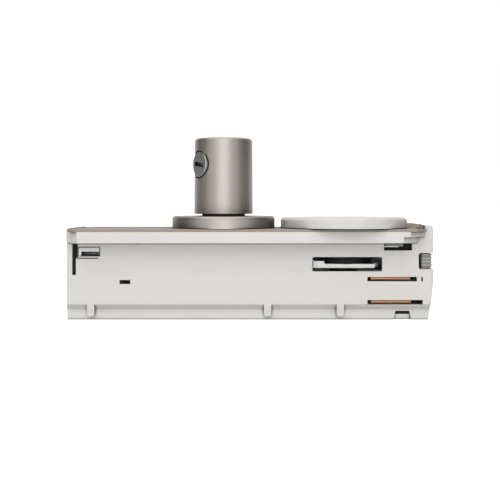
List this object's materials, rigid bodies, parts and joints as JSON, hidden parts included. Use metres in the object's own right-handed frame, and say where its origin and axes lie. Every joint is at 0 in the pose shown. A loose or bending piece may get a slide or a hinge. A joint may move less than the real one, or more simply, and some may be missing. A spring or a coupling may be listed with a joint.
{
  "type": "track light adapter",
  "caption": "long plastic adapter that plugs a pendant lamp into a lighting track, with a metal cord sleeve and a round turning lock knob on top, shown track side down",
  "frame": {"origin": "middle of the foot, the lowest face, which goes deepest into the track; the part stands on it as in the picture", "axes": "+X along the adapter from the cord sleeve end to the contact end, +Y across it away from the contact side, +Z from the track side up to the lamp side"},
  "size_m": [0.1, 0.0356, 0.0499],
  "materials": {
    "housing_plastic": "pale silver grey moulded plastic, satin",
    "knob_plastic": "pale silver grey moulded plastic, satin",
    "plate_metal": "pressed sheet, silver paint",
    "satin_metal": "satin nickel on turned metal",
    "screw_steel": "plated steel",
    "nickel_steel": "nickel plated stamped steel",
    "spring_steel": "blue grey spring strip",
    "brass": "machined brass",
    "copper": "stamped copper",
    "black_plastic": "black moulded plastic",
    "white_plastic": "white moulded plastic",
    "carrier_plastic": "grey moulded plastic",
    "fibre": "dark brown fibre"
  },
  "bodies": {
    "body": {"housing": "housing_plastic", "flange_shell": "housing_plastic", "cover_plate": "plate_metal", "base_disc": "satin_metal", "fibre_washer": "fibre", "cord_sleeve": "satin_metal", "clamp_screw": "screw_steel", "threaded_nipple": "brass", "nipple_nut": "brass", "nipple_washer": "screw_steel", "detent_spring": "spring_steel", "contact_carrier": "carrier_plastic", "terminal_block": "white_plastic", "terminal_clamps": "brass", "terminal_screws": "screw_steel", "line_wiper": "copper", "neutral_wiper": "copper", "earth_wiper": "copper", "catch_spring": "spring_steel"},
    "lock": {"lock_knob": "knob_plastic", "lock_spindle": "screw_steel", "lock_hub": "black_plastic", "lock_tongue": "nickel_steel", "drive_gear": "black_plastic"},
    "contacts": {"contact_rotor": "white_plastic", "line_blade": "copper", "neutral_blade": "copper"},
    "catch": {"end_catch": "white_plastic"}
  },
  "joints": [
    {"name": "knob_turn", "type": "hinge", "parent": "body", "child": "lock", "pos_m": [0.0265, 0, 0.0169], "axis": [0, 0, 1], "range_deg": [-90, 0], "deforming": ["detent_spring"]},
    {"name": "contact_turn", "type": "hinge", "parent": "body", "child": "contacts", "pos_m": [0.0395, 0, 0.0072], "axis": [0, 0, 1], "range_deg": [0, 90]},
    {"name": "catch_press", "type": "slide", "parent": "body", "child": "catch", "axis": [0, 1, 0], "range_m": [0, 0.0009], "stiffness_N_per_m": 400, "deforming": ["catch_spring"]}
  ],
  "couplings": [
    {"joint": "contact_turn", "follows": "knob_turn", "ratio": -1}
  ]
}
